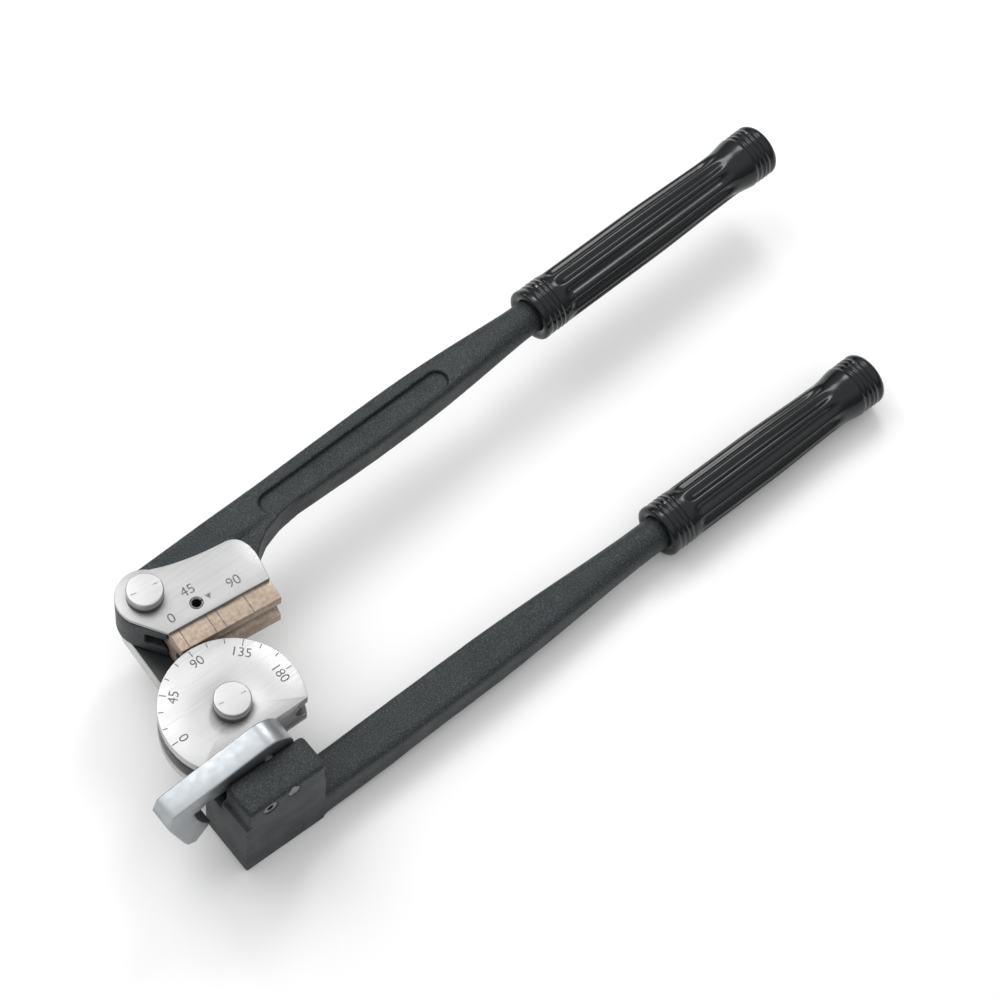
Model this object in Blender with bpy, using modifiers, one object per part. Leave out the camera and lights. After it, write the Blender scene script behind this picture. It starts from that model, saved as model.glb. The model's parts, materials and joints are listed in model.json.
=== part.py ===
"""Manual tube bender: form handle with latch, link, and shoe handle, as separate solids.

The tool lies on its back. X runs along the form handle, Y across it towards the shoe
handle, and Z up, out of the scale faces. Lengths below are in millimetres. Plan positions
are measured from the form's centre; "level" values are heights above the back face.
"""
import math

import bmesh
import bpy
from mathutils import Matrix, Vector

MM = 0.001
GAP = 0.3

# The form: a grooved half disc for tube of 12.7 mm, bent to a centreline radius of 38.1 mm
TUBE_RADIUS = 6.35
BEND_RADIUS = 38.1
FORM_RADIUS = 38.0
FORM_THICKNESS = 25.0
FORM_FLAT = -19.0
FORM_BORE = 6.2
FACE_LEVEL = 65.0
GROOVE_LEVEL = FACE_LEVEL - FORM_THICKNESS / 2
FOOT_X = (-24.0, 12.0)
FOOT_Y = (-33.0, -18.2)
FOOT_LEVELS = (26.8, 44.2)

# The form handle's head: a deep block, with an arm behind the form
BLOCK_X = (-32.0, 18.0)
BLOCK_Y = (-55.0, -19.3)
WALL_Y = -34.0
PAD_START_X = -30.0
PAD_LEVEL = FACE_LEVEL + 1.0
LEDGE_LEVEL = FACE_LEVEL - 14.0
END_WALL_X = -26.0
END_WALL_LEVEL = FACE_LEVEL - 22.0
SEAT_LEVEL = FOOT_LEVELS[0] - GAP
ARM_LEVELS = (7.8, 25.8)
ARM_RADIUS = 18.0
FORM_SCREW_X = (-18.0, 6.0)
FORM_SCREW_Y = -26.0

# Handles: a tapered cast arm, a neck and a tang inside the grip
FORM_HANDLE_TURN = math.radians(2.0)
FORM_HANDLE_START = (18.0, -44.0)
FORM_HANDLE_LEVEL = 16.0
FORM_ARM_Y = (-12.0, 11.5)
FORM_ARM_WIDE = 110.0
FORM_HANDLE_LENGTH = 241.0
FORM_GRIP_LENGTH = 162.0
SHOE_HANDLE_TURN = math.radians(3.5)
SHOE_HANDLE_OFFSET = 5.6
SHOE_HANDLE_LEVEL = FACE_LEVEL - 12.5
SHOE_HANDLE_LENGTH = 274.0
SHOE_GRIP_LENGTH = 181.0
NECK_RADIUS = 9.5
ARM_END_HALF = 8.7
TANG_RADIUS = 6.5
TANG_CLEARANCE = 0.3
TANG_START = 8.0
TANG_END = 20.0
GRIP_OVERLAP = 6.0
GRIP_RADII = {"bell": 15.6, "waist": 13.9, "body": 15.0, "collar": 15.4}
RECESS_X = (86.5, 203.3)
RECESS_Y = 3.0
RECESS_RADIUS = 6.3
RECESS_DEPTH = 3.0

# The shoe and its scale plate, square to the line from the form's centre at 85 degrees
SHOE_TURN = math.radians(-5.0)
SHOE_X = (-6.5, 53.2)
SHOE_Y = (38.8, 62.0)
PLATE_BOTTOM_Y = 50.2
PLATE_THICKNESS = 2.0
PIN_SHOE_FRAME = (-6.35, 74.8)
HEAD_RADIUS = 15.7
HEAD_THICKNESS = 25.0
HEAD_SLOT_LEVELS = (48.0, 57.0)
HEAD_SLOT_ALONG = (-2.0, 13.0)
HEAD_SLOT_DEPTH = 7.0
SHOE_DOWEL_X = (24.0, 44.0)
ROLL_PIN_AT = (14.0, 57.9)
ROLL_PIN_RADIUS = 3.6
ROLL_PIN_BORE = 2.3

# The link and its bolts
LINK_LEVELS = (27.4, 38.4)
LINK_HUB_RADIUS = 17.0
LINK_TIP_RADIUS = 13.5
BUSH_RADIUS = 8.5
BUSH_BORE = 6.3
BOLT_RADIUS = 6.0
BOLT_HEAD_RADIUS = 9.8
BOLT_HEAD_HEIGHT = 7.5
NUT_ACROSS_FLATS = 17.0
NUT_HEIGHT = 6.6
WASHER_RADIUS = 11.0
WASHER_THICKNESS = 1.0

# The latch: a knuckle on a pin along Y, a bar, and a hooked leg round the tube
LATCH_PIVOT_X = -2.5
LATCH_PIVOT_LEVEL = FACE_LEVEL - 4.0
LATCH_KNUCKLE_RADIUS = 16.0
LATCH_Y = (-33.6, -19.7)
LATCH_HOOK_REACH = 46.5
LATCH_PIN_RADIUS = 3.5
PLUNGER_X = -17.0
PLUNGER_LEVEL = FACE_LEVEL - 5.5
PLUNGER_RADIUS = 4.0

# The frame's origin on the block's back face, measured from the form's centre
ORIGIN = (-7.0, -36.4)
ROUND_STEPS = 48
SMALL_STEPS = 28

BLACK_CAST = ("cast_black", (0.025, 0.029, 0.031), 0.6, 0.0)
BLACK_GRIP = ("grip_black", (0.008, 0.009, 0.010), 0.25, 0.0)
SATIN_STEEL = ("satin_steel", (0.72, 0.73, 0.75), 0.35, 1.0)
BRONZE_PLATE = ("bronze_plated", (0.62, 0.47, 0.34), 0.4, 1.0)
DARK_STEEL = ("dark_steel", (0.20, 0.20, 0.21), 0.4, 1.0)


def clear_scene():
    for old in list(bpy.data.objects):
        bpy.data.objects.remove(old, do_unlink=True)


def new_collection(name):
    made = bpy.data.collections.new(name)
    bpy.context.scene.collection.children.link(made)
    return made


def new_empty(name, location, parent=None):
    marker = bpy.data.objects.new(name, None)
    PARTS.objects.link(marker)
    marker.location = Vector(location) * MM
    marker.parent = parent
    return marker


def give_material(obj, finish):
    kind, colour, roughness, metallic = finish
    made = bpy.data.materials.new(f"{obj.name}_{kind}")
    made.use_nodes = True
    shader = made.node_tree.nodes["Principled BSDF"]
    shader.inputs["Base Color"].default_value = (*colour, 1.0)
    shader.inputs["Roughness"].default_value = roughness
    shader.inputs["Metallic"].default_value = metallic
    made.diffuse_color = (*colour, 1.0)
    obj.data.materials.clear()
    obj.data.materials.append(made)


def mesh_object(name, mesh, finish=None):
    """Link a mesh as a part when it has a finish, or as a cutter when it has none."""
    made = bpy.data.objects.new(name, mesh)
    if finish is None:
        CUTTERS.objects.link(made)
        made.hide_render = True
        made.display_type = "WIRE"
    else:
        PARTS.objects.link(made)
        give_material(made, finish)
    return made


def place(obj, location=(0, 0, 0), turn=0.0, parent=None):
    obj.parent = parent or FORM_CENTRE
    obj.location = Vector(location) * MM
    obj.rotation_euler = (0.0, 0.0, turn)
    return obj


def smooth(obj):
    obj.data.shade_smooth()
    obj.data.set_sharp_from_angle(angle=math.radians(35))
    return obj


def box(name, x, y, z, finish=None):
    """A box between two corners, whose object keeps its origin at the frame's zero."""
    made = bpy.data.meshes.new(name)
    work = bmesh.new()
    bmesh.ops.create_cube(work, size=1.0)
    size = Vector((x[1] - x[0], y[1] - y[0], z[1] - z[0])) * MM
    middle = Vector((x[0] + x[1], y[0] + y[1], z[0] + z[1])) * MM / 2
    bmesh.ops.scale(work, vec=size, verts=work.verts)
    bmesh.ops.translate(work, vec=middle, verts=work.verts)
    work.to_mesh(made)
    work.free()
    return mesh_object(name, made, finish)


def rod(name, radius, low, high, finish=None, centre=(0, 0), steps=SMALL_STEPS, axis="Z", tip=None):
    """A cylinder, or a cone when tip is given, from low to high along one axis."""
    made = bpy.data.meshes.new(name)
    work = bmesh.new()
    bmesh.ops.create_cone(work, cap_ends=True, cap_tris=False, segments=steps, radius1=radius * MM,
                          radius2=(radius if tip is None else tip) * MM, depth=(high - low) * MM)
    bmesh.ops.translate(work, vec=(0, 0, (low + high) * MM / 2), verts=work.verts)
    if axis == "X":
        turn = Matrix.Rotation(math.pi / 2, 3, "Y")
        offset = (0, centre[0] * MM, centre[1] * MM)
    elif axis == "Y":
        turn = Matrix.Rotation(-math.pi / 2, 3, "X")
        offset = (centre[0] * MM, 0, centre[1] * MM)
    else:
        turn = Matrix.Identity(3)
        offset = (centre[0] * MM, centre[1] * MM, 0)
    bmesh.ops.rotate(work, cent=(0, 0, 0), matrix=turn, verts=work.verts)
    bmesh.ops.translate(work, vec=offset, verts=work.verts)
    work.to_mesh(made)
    work.free()
    return smooth(mesh_object(name, made, finish))


def turned(name, profile, finish, steps=ROUND_STEPS):
    """A profile of (radius, height) points, outer side first from the top, turned about Z."""
    made = bpy.data.meshes.new(name)
    points = [(r * MM, 0.0, z * MM) for r, z in profile]
    closed = min(r for r, z in profile) > 0
    last = len(points) if closed else len(points) - 1
    made.from_pydata(points, [(i, (i + 1) % len(points)) for i in range(last)], [])
    obj = mesh_object(name, made, finish)
    screw = obj.modifiers.new("turn", "SCREW")
    screw.steps = steps
    screw.render_steps = steps
    screw.use_merge_vertices = True
    screw.merge_threshold = 0.00001
    screw.use_smooth_shade = True
    return obj


def outline_mesh(name, outline, low, high, finish=None):
    """A closed flat outline in XY, filled and extruded from low to high."""
    flat = bpy.data.curves.new(name, "CURVE")
    flat.dimensions = "2D"
    flat.fill_mode = "BOTH"
    flat.extrude = (high - low) * MM / 2
    spline = flat.splines.new("POLY")
    spline.points.add(len(outline) - 1)
    for point, (x, y) in zip(spline.points, outline):
        point.co = (x * MM, y * MM, 0.0, 1.0)
    spline.use_cyclic_u = True
    holder = bpy.data.objects.new(name, flat)
    CUTTERS.objects.link(holder)
    graph = bpy.context.evaluated_depsgraph_get()
    made = bpy.data.meshes.new_from_object(holder.evaluated_get(graph))
    bpy.data.objects.remove(holder, do_unlink=True)
    work = bmesh.new()
    work.from_mesh(made)
    bmesh.ops.remove_doubles(work, verts=work.verts, dist=0.000001)
    bmesh.ops.translate(work, vec=(0, 0, (low + high) * MM / 2), verts=work.verts)
    bmesh.ops.recalc_face_normals(work, faces=work.faces)
    work.to_mesh(made)
    work.free()
    made.materials.clear()
    return mesh_object(name, made, finish)


def combine(target, other, operation):
    """Add a Boolean; the cutter keeps its own place and is parented by the caller."""
    step = target.modifiers.new(f"{operation.lower()}_{other.name}", "BOOLEAN")
    step.operation = operation
    step.object = other
    step.solver = "EXACT"
    return target


def cut(target, cutter, **where):
    return combine(target, place(cutter, **where), "DIFFERENCE")


def join(target, piece, **where):
    return combine(target, place(piece, **where), "UNION")


def arc(centre, radius, start, end, steps):
    """Points on an arc, angles in degrees, both ends included."""
    points = []
    for i in range(steps + 1):
        angle = math.radians(start + (end - start) * i / steps)
        points.append((centre[0] + radius * math.cos(angle), centre[1] + radius * math.sin(angle)))
    return points


def bezier(start, control, end, steps):
    """Points on a quadratic curve, both ends included."""
    points = []
    for i in range(steps + 1):
        t = i / steps
        weights = ((1 - t) ** 2, 2 * t * (1 - t), t ** 2)
        points.append(tuple(sum(w * p[k] for w, p in zip(weights, (start, control, end))) for k in (0, 1)))
    return points


def turn_point(point, angle):
    return (point[0] * math.cos(angle) - point[1] * math.sin(angle),
            point[0] * math.sin(angle) + point[1] * math.cos(angle))


def make_form():
    """The grooved half disc, with a foot behind it that is screwed to the handle's block."""
    low = FACE_LEVEL - FORM_THICKNESS
    groove = arc((BEND_RADIUS, GROOVE_LEVEL), TUBE_RADIUS, 90, 270, 12)[1:-1]
    profile = [(FORM_BORE, FACE_LEVEL), (FORM_RADIUS - 0.6, FACE_LEVEL), (FORM_RADIUS, FACE_LEVEL - 0.6),
               (FORM_RADIUS, GROOVE_LEVEL + TUBE_RADIUS), *groove,
               (FORM_RADIUS, GROOVE_LEVEL - TUBE_RADIUS), (FORM_RADIUS, low), (FORM_BORE, low)]
    form = place(turned("bending_form", profile, SATIN_STEEL, steps=64))
    below = box("form_flat_cutter", (-60, 60), (-60, FORM_FLAT), (low - 5, FACE_LEVEL + 5))
    cut(form, below)
    foot = box("form_foot", FOOT_X, FOOT_Y, FOOT_LEVELS)
    for i, x in enumerate(FORM_SCREW_X):
        cut(foot, rod(f"foot_hole_{i}", 3.3, FOOT_LEVELS[0] - 1, FOOT_LEVELS[0] + 12,
                      centre=(x, FORM_SCREW_Y)))
    join(form, foot)


def arm_outline(length, top, bottom, wide_until):
    """A handle arm's outline along X: parallel at first, then tapering to the neck."""
    upper = bezier((wide_until, top), (length * 0.86, top), (length, ARM_END_HALF), 8)
    lower = bezier((length, -ARM_END_HALF), (length * 0.86, bottom), (wide_until, bottom), 8)
    return [(0.0, top), *upper, *lower, (0.0, bottom)]


def join_tang(handle, start, length, grip_length, level, parent, turn):
    """The round neck and the tang that the grip is pushed on to."""
    neck = rod(f"{handle.name}_neck", NECK_RADIUS, start, length + GRIP_OVERLAP - 1, axis="X",
               centre=(0, level))
    tang = rod(f"{handle.name}_tang", TANG_RADIUS, length - TANG_START, length + grip_length - TANG_END,
               axis="X", centre=(0, level))
    join(handle, neck, **parent, turn=turn)
    join(handle, tang, **parent, turn=turn)


def make_form_handle():
    """The block that carries form and latch, its rear arm, and the handle's cast arm."""
    back = (0.0, SEAT_LEVEL)
    handle = place(box("form_handle", BLOCK_X, BLOCK_Y, back, BLACK_CAST))
    join(handle, box("block_wall", BLOCK_X, (BLOCK_Y[0], WALL_Y), (5, LEDGE_LEVEL)))
    join(handle, box("block_pad", (PAD_START_X, BLOCK_X[1]), (BLOCK_Y[0], WALL_Y), (6, PAD_LEVEL)))
    join(handle, box("block_end_wall", (BLOCK_X[0], END_WALL_X), (WALL_Y - 1, BLOCK_Y[1]),
                     (7, END_WALL_LEVEL)))
    boss = [(-ARM_RADIUS, BLOCK_Y[1] - 5), (ARM_RADIUS, BLOCK_Y[1] - 5),
            *arc((0, 0), ARM_RADIUS, 0, 180, 24)]
    join(handle, outline_mesh("rear_arm", boss, *ARM_LEVELS))
    outline = arm_outline(FORM_HANDLE_LENGTH, FORM_ARM_Y[1], FORM_ARM_Y[0], FORM_ARM_WIDE)
    outline = [(x if x > 0 else -12.0, y) for x, y in outline]
    level = FORM_HANDLE_LEVEL
    start = (*FORM_HANDLE_START, 0.0)
    where = {"location": start, "turn": FORM_HANDLE_TURN}
    join(handle, outline_mesh("form_handle_arm", outline, level - 11.5, level + 10.3), **where)
    join_tang(handle, 150, FORM_HANDLE_LENGTH, FORM_GRIP_LENGTH, level,
              {"location": start}, FORM_HANDLE_TURN)
    cut(handle, rod("form_bolt_bore", FORM_BORE, ARM_LEVELS[0] - 2, ARM_LEVELS[1] + 2))
    low, high = (LATCH_Y[0] - 22, LATCH_Y[0] + 2)
    cut(handle, rod("latch_pin_bore", LATCH_PIN_RADIUS + 0.2, low, high, axis="Y",
                    centre=(LATCH_PIVOT_X, LATCH_PIVOT_LEVEL)))
    cut(handle, rod("plunger_bore", PLUNGER_RADIUS + 0.2, low, high, axis="Y",
                    centre=(PLUNGER_X, PLUNGER_LEVEL)))
    for i, x in enumerate(FORM_SCREW_X):
        cut(handle, rod(f"screw_hole_{i}", 3.4, -1, SEAT_LEVEL + 1, centre=(x, FORM_SCREW_Y)))
        cut(handle, rod(f"screw_counterbore_{i}", 5.6, -1, 7.5, centre=(x, FORM_SCREW_Y)))


def make_form_screws():
    """Two socket screws, from the block's back into the form's foot."""
    for i, x in enumerate(FORM_SCREW_X):
        profile = [(0, 38.0), (3.0, 38.0), (3.0, 7.0), (5.2, 7.0), (5.2, 1.0), (2.6, 1.0), (2.6, 4.0),
                   (0, 4.0)]
        place(turned(f"form_screw_{i + 1}", profile, DARK_STEEL, steps=SMALL_STEPS),
              location=(x, FORM_SCREW_Y, 0))


def make_grip(name, length, start, level, turn):
    """A moulded sleeve with a collar, a waisted middle and a rounded bell at the end."""
    bore = TANG_RADIUS + TANG_CLEARANCE
    mouth = NECK_RADIUS + TANG_CLEARANCE
    bell, collar = GRIP_RADII["bell"], GRIP_RADII["collar"]
    outer = [(bell - 2.1, length), (bell - 0.4, length - 2.5), (bell, length - 9), (bell - 0.2, length - 22),
             (GRIP_RADII["waist"], length - 36), (14.6, length * 0.55), (GRIP_RADII["body"], 24), (14.3, 16),
             (collar - 0.2, 13), (collar, 1.5), (collar - 1, 0.0)]
    inner = [(mouth, 0.0), (mouth, GRIP_OVERLAP + 1), (bore, GRIP_OVERLAP + 1), (bore, length - 18),
             (0.0, length - 18)]
    grip = turned(name, [(0.0, length), *outer, *inner], BLACK_GRIP, steps=40)
    grip.rotation_mode = "XYZ"
    place(grip, location=(*start, level))
    grip.rotation_euler = (0.0, math.pi / 2, turn)
    return grip


def along(start, turn, distance, offset=0.0):
    dx, dy = turn_point((distance, offset), turn)
    return (start[0] + dx, start[1] + dy)


def plate_outline():
    """The scale plate's outline in the shoe's frame, from its lower left corner."""
    px, py = PIN_SHOE_FRAME
    corner = (-7.2, PLATE_BOTTOM_Y)
    reach = math.hypot(corner[0] - px, corner[1] - py)
    lean = math.degrees(math.atan2(corner[1] - py, corner[0] - px))
    tangent = lean + 360 - math.degrees(math.acos(HEAD_RADIUS / reach))
    return [corner, (53.3, PLATE_BOTTOM_Y + 0.3), (55.1, 66.0),
            *bezier((55.1, 66.5), (54.5, 80.5), (44.7, 81.0), 8)[1:],
            *bezier((44.7, 81.0), (20.0, 81.2), (3.4, 87.2), 8)[1:-1],
            *arc(PIN_SHOE_FRAME, HEAD_RADIUS, 52, tangent, 24)]


def head_outline():
    """The shoe handle's head in the shoe's frame, with its seat over the shoe."""
    left = plate_outline()
    start = len(left) - 25
    seat = SHOE_Y[1] + GAP
    side = SHOE_X[0] - GAP
    return [(side - 0.2, PLATE_BOTTOM_Y + 0.4), (side, seat), (52.5, seat), (54.0, 66.0), (52.0, 80.0),
            (40.0, 88.0), (10.0, 88.6), *left[start:]]


def cut_head_slot(head):
    """A slot in the head's lower left side, open towards the shoe's corner."""
    left = plate_outline()
    corner, tangent = left[0], left[-1]
    lean = math.atan2(tangent[1] - corner[1], tangent[0] - corner[0])
    slot = box("head_slot_cutter", HEAD_SLOT_ALONG, (-HEAD_SLOT_DEPTH, 5.0), HEAD_SLOT_LEVELS)
    cut(head, slot, location=(*turn_point(corner, SHOE_TURN), 0.0), turn=SHOE_TURN + lean)


def make_shoe_handle():
    """The cast handle whose head turns on the link and carries the shoe."""
    head = outline_mesh("shoe_handle", head_outline(), FACE_LEVEL - HEAD_THICKNESS, FACE_LEVEL, BLACK_CAST)
    place(head, turn=SHOE_TURN)
    pin = turn_point(PIN_SHOE_FRAME, SHOE_TURN)
    shoulder = [(SHOE_HANDLE_LENGTH, SHOE_HANDLE_OFFSET + half) for half in (ARM_END_HALF, -ARM_END_HALF)]
    outline = [(0.0, 14.0), (30.0, 16.8), (90.0, 17.3), (170.0, 18.0),
               *bezier((170.0, 18.0), (240.0, 16.6), shoulder[0], 8)[1:],
               *bezier(shoulder[1], (240.0, -6.8), (170.0, -6.8), 8),
               (118.0, -5.8), (84.0, -4.9), (66.0, -9.0), (40.0, -2.0), (0.0, -2.0)]
    where = {"location": (*pin, 0.0), "turn": SHOE_HANDLE_TURN}
    level = SHOE_HANDLE_LEVEL
    join(head, outline_mesh("shoe_handle_arm", outline, level - 10, level + 10.5), **where)
    axis_start = along(pin, SHOE_HANDLE_TURN, 0.0, SHOE_HANDLE_OFFSET)
    join_tang(head, 200, SHOE_HANDLE_LENGTH, SHOE_GRIP_LENGTH, level,
              {"location": (*axis_start, 0.0)}, SHOE_HANDLE_TURN)
    slot = [*arc((RECESS_X[0], RECESS_Y), RECESS_RADIUS, 90, 270, 12),
            *arc((RECESS_X[1], RECESS_Y), RECESS_RADIUS, -90, 90, 12)]
    cut(head, outline_mesh("recess_cutter", slot, level + 10.5 - RECESS_DEPTH, level + 15), **where)
    cut(head, rod("shoe_bolt_bore", FORM_BORE, 30, FACE_LEVEL + 5, centre=pin))
    cut_head_slot(head)
    hole = turn_point(ROLL_PIN_AT, SHOE_TURN)
    for i, x in enumerate(SHOE_DOWEL_X):
        cut(head, rod(f"shoe_dowel_bore_{i}", 3.2, SHOE_Y[1] - 3, SHOE_Y[1] + 12, axis="Y",
                      centre=(x, GROOVE_LEVEL)), turn=SHOE_TURN)
    return pin, hole, axis_start


def make_shoe():
    """The grooved shoe that rides on the tube, and the scale plate over it."""
    low = FACE_LEVEL - FORM_THICKNESS
    shoe = place(box("shoe", SHOE_X, SHOE_Y, (low, FACE_LEVEL), BRONZE_PLATE), turn=SHOE_TURN)
    cut(shoe, rod("shoe_groove", TUBE_RADIUS + 0.1, SHOE_X[0] - 5, SHOE_X[1] + 5, axis="X",
                  centre=(BEND_RADIUS, GROOVE_LEVEL), steps=32), turn=SHOE_TURN)
    cut(shoe, rod("shoe_pin_bore", ROLL_PIN_RADIUS + GAP, low - 5, FACE_LEVEL + 5, centre=ROLL_PIN_AT),
        turn=SHOE_TURN)
    for i, x in enumerate(SHOE_DOWEL_X):
        cut(shoe, rod(f"shoe_dowel_hole_{i}", 3.2, SHOE_Y[1] - 8, SHOE_Y[1] + 3, axis="Y",
                      centre=(x, GROOVE_LEVEL)), turn=SHOE_TURN)
        place(rod(f"shoe_dowel_{i + 1}", 2.9, SHOE_Y[1] - 7.5, SHOE_Y[1] + 11, DARK_STEEL, axis="Y",
                  centre=(x, GROOVE_LEVEL)), turn=SHOE_TURN)
    plate = outline_mesh("shoe_scale_plate", plate_outline(), FACE_LEVEL + GAP,
                         FACE_LEVEL + GAP + PLATE_THICKNESS, SATIN_STEEL)
    place(plate, turn=SHOE_TURN)
    for name, centre, radius in (("plate_bolt_bore", PIN_SHOE_FRAME, FORM_BORE),
                                 ("plate_pin_bore", ROLL_PIN_AT, ROLL_PIN_RADIUS + GAP)):
        cut(plate, rod(name, radius, FACE_LEVEL - 5, FACE_LEVEL + 8, centre=centre), turn=SHOE_TURN)


def make_roll_pin(hole):
    top = FACE_LEVEL + GAP + PLATE_THICKNESS
    bottom = FACE_LEVEL - FORM_THICKNESS + 0.5
    profile = [(ROLL_PIN_BORE, top), (ROLL_PIN_RADIUS, top), (ROLL_PIN_RADIUS, bottom),
               (ROLL_PIN_BORE, bottom)]
    place(turned("shoe_roll_pin", profile, DARK_STEEL, steps=SMALL_STEPS), location=(*hole, 0.0))


def make_link(pin):
    """A tapered bar on two bushes, joining the two bolts behind form and shoe handle."""
    length = math.hypot(*pin)
    heading = math.atan2(pin[1], pin[0])
    lean = math.degrees(math.asin((LINK_HUB_RADIUS - LINK_TIP_RADIUS) / length))
    outline = [*arc((0, 0), LINK_HUB_RADIUS, 90 - lean, 270 + lean, 24),
               *arc((length, 0), LINK_TIP_RADIUS, -90 + lean, 90 - lean, 20)]
    link = place(outline_mesh("link", outline, *LINK_LEVELS, SATIN_STEEL), turn=heading)
    low, high = LINK_LEVELS
    for end, x in (("form", 0.0), ("shoe", length)):
        cut(link, rod(f"link_{end}_bore", BUSH_RADIUS + 0.2, low - 2, high + 2, centre=(x, 0)), turn=heading)
        profile = [(BUSH_BORE, high - 0.4), (BUSH_RADIUS, high - 0.4), (BUSH_RADIUS, low + 0.4),
                   (BUSH_BORE, low + 0.4)]
        centre = turn_point((x, 0.0), heading)
        place(turned(f"link_{end}_bush", profile, BRONZE_PLATE, steps=SMALL_STEPS), location=(*centre, 0))


def washer(name, centre, low):
    profile = [(BUSH_BORE, low + WASHER_THICKNESS), (WASHER_RADIUS, low + WASHER_THICKNESS),
               (WASHER_RADIUS, low), (BUSH_BORE, low)]
    place(turned(name, profile, SATIN_STEEL, steps=SMALL_STEPS), location=(*centre, 0.0))


def bolt(name, centre, seat, tail):
    """A round-headed shoulder bolt, head on top, with a threaded tail for its nut."""
    top = seat + BOLT_HEAD_HEIGHT
    profile = [(0.0, top), (BOLT_HEAD_RADIUS - 0.8, top), (BOLT_HEAD_RADIUS, top - 0.8),
               (BOLT_HEAD_RADIUS, seat), (BOLT_RADIUS, seat), (BOLT_RADIUS, tail + 9.0),
               (BOLT_RADIUS - 1.2, tail + 9.0), (BOLT_RADIUS - 1.2, tail), (0.0, tail)]
    place(turned(name, profile, SATIN_STEEL, steps=ROUND_STEPS), location=(*centre, 0.0))


def nut(name, centre, low):
    """A hexagon nut round the bolt's threaded tail."""
    corner = NUT_ACROSS_FLATS / math.sqrt(3)
    made = place(rod(name, corner, low, low + NUT_HEIGHT, DARK_STEEL, steps=6), location=(*centre, 0.0))
    bore = rod(f"{name}_bore", BOLT_RADIUS - 1.2 + 0.2, low - 1, low + NUT_HEIGHT + 1)
    cut(made, bore, location=(*centre, 0.0))


def make_latch():
    """Knuckle, bar and hooked leg, drawn in the XZ plane about the pivot and as deep as LATCH_Y."""
    knuckle = arc((0, 0), LATCH_KNUCKLE_RADIUS, -140, 96, 28)
    hook = arc((0, 0), LATCH_HOOK_REACH, 218, 186, 8)
    outline = [*knuckle, (-56.0, 7.2), (-58.6, 6.0), (-61.5, -2.0), (-60.0, -8.0), (-52.0, -33.0), (-50.0, -37.5),
               (-45.0, -40.0), *hook, (-43.0, -5.0), (-38.0, -3.0), (-20.0, -3.0)]
    width = LATCH_Y[1] - LATCH_Y[0]
    latch = outline_mesh("latch", outline, -width / 2, width / 2, SATIN_STEEL)
    hinge = new_empty("latch_hinge", (LATCH_PIVOT_X, (LATCH_Y[0] + LATCH_Y[1]) / 2, LATCH_PIVOT_LEVEL),
                      FORM_CENTRE)
    place(latch, parent=hinge)
    latch.rotation_euler = (math.pi / 2, 0.0, 0.0)
    bore = rod("latch_bore", LATCH_PIN_RADIUS + 0.25, -width, width)
    cut(latch, bore, parent=hinge)
    bore.rotation_euler = (math.pi / 2, 0.0, 0.0)
    place(rod("latch_pin", LATCH_PIN_RADIUS, BLOCK_Y[0] + 0.3, LATCH_Y[1] - 0.2, DARK_STEEL, axis="Y",
              centre=(LATCH_PIVOT_X, LATCH_PIVOT_LEVEL)))
    plunger = place(rod("latch_detent_plunger", PLUNGER_RADIUS, BLOCK_Y[0] + 0.6, WALL_Y - 0.4, DARK_STEEL,
                        axis="Y", centre=(PLUNGER_X, PLUNGER_LEVEL)))
    cut(plunger, rod("plunger_socket", 2.2, BLOCK_Y[0] - 2, BLOCK_Y[0] + 3.5, axis="Y",
                     centre=(PLUNGER_X, PLUNGER_LEVEL), steps=6))


def main():
    clear_scene()
    global PARTS, CUTTERS, FORM_CENTRE
    PARTS = new_collection("manual_tube_bender")
    CUTTERS = new_collection("cutters")
    FORM_CENTRE = new_empty("form_centre", (-ORIGIN[0], -ORIGIN[1], 0.0))
    make_form()
    make_form_handle()
    make_form_screws()
    pin, hole, shoe_axis = make_shoe_handle()
    make_shoe()
    make_roll_pin(hole)
    make_link(pin)
    grip_start = along(FORM_HANDLE_START, FORM_HANDLE_TURN, FORM_HANDLE_LENGTH)
    make_grip("form_handle_grip", FORM_GRIP_LENGTH, grip_start, FORM_HANDLE_LEVEL, FORM_HANDLE_TURN)
    grip_start = along(shoe_axis, SHOE_HANDLE_TURN, SHOE_HANDLE_LENGTH)
    make_grip("shoe_handle_grip", SHOE_GRIP_LENGTH, grip_start, SHOE_HANDLE_LEVEL, SHOE_HANDLE_TURN)
    bolt("form_bolt", (0, 0), FACE_LEVEL + GAP, 0.6)
    bolt("shoe_bolt", pin, FACE_LEVEL + PLATE_THICKNESS + 2 * GAP, LINK_LEVELS[0] - 9.0)
    nut("form_bolt_nut", (0, 0), ARM_LEVELS[0] - GAP - NUT_HEIGHT)
    nut("shoe_bolt_nut", pin, LINK_LEVELS[0] - 1.8 - NUT_HEIGHT)
    washer("shoe_bolt_washer", pin, LINK_LEVELS[0] - WASHER_THICKNESS - GAP)
    washer("form_spacer_washer", (0, 0), LINK_LEVELS[1] + GAP)
    washer("shoe_spacer_washer", pin, LINK_LEVELS[1] + GAP)
    washer("arm_spacer_washer", (0, 0), ARM_LEVELS[1] + GAP)
    make_latch()


main()
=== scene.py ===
import json
import math

import bmesh
import bpy
from mathutils import Matrix, Vector


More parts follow.
